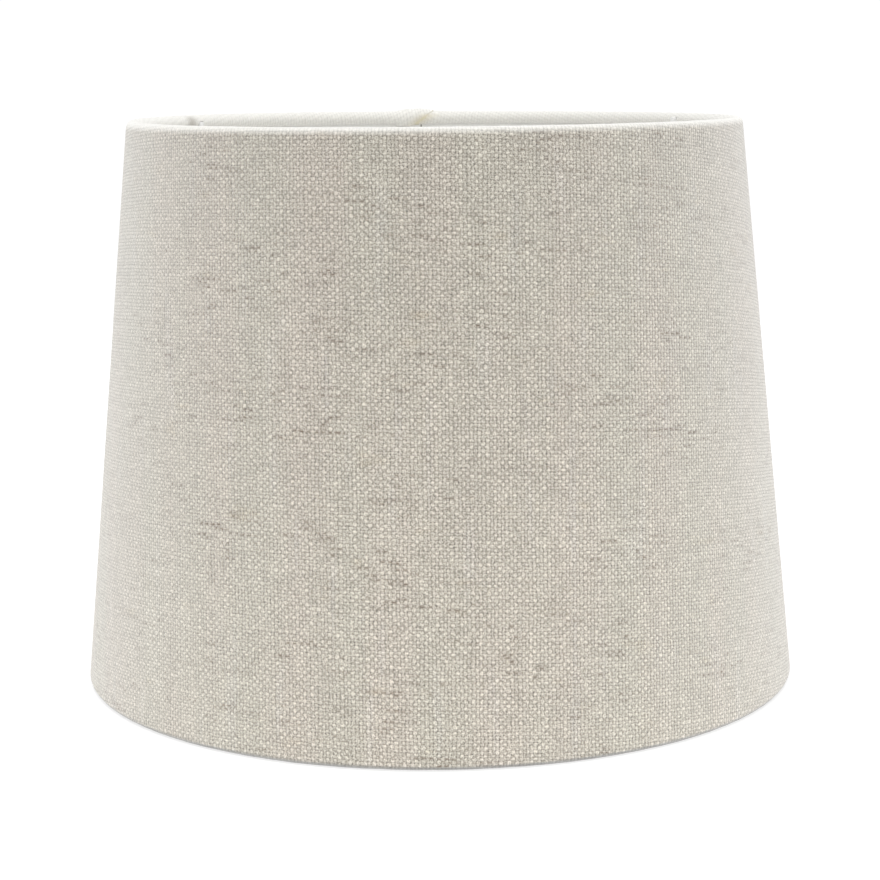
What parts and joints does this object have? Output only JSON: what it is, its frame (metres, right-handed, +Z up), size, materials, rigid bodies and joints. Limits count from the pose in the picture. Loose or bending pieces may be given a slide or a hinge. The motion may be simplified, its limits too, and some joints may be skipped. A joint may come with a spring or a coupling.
{
  "type": "lamp shade",
  "caption": "Tapered drum lamp shade: linen laminated to a stiff backing, rolled over a wire ring at each rim, with a three-arm wire spider and a fitter ring inside the top.",
  "frame": {"origin": "centre of the bottom rim, on the plane that the shade stands on", "axes": "+Z up the shade's axis towards the narrow rim; the seam's free edge is at +Y and the third arm at -Y, a little to -X"},
  "size_m": [0.25, 0.2507, 0.194],
  "materials": {
    "linen": "oatmeal plain-weave linen with slubs, matt",
    "backing": "translucent off-white laminating sheet, satin",
    "tape": "aged clear double-sided tape",
    "coated_wire": "white powder coat",
    "fitter": "white powder coat",
    "weld": "white powder coat over a weld bead"
  },
  "bodies": {
    "root": {"fabric_cover": "linen", "backing_sheet": "backing", "seam_tape": "tape", "top_ring": "coated_wire", "bottom_ring": "coated_wire", "spider_arm_1": "coated_wire", "spider_arm_2": "coated_wire", "spider_arm_3": "coated_wire", "fitter_ring": "fitter", "weld_beads": "weld"}
  },
  "joints": []
}
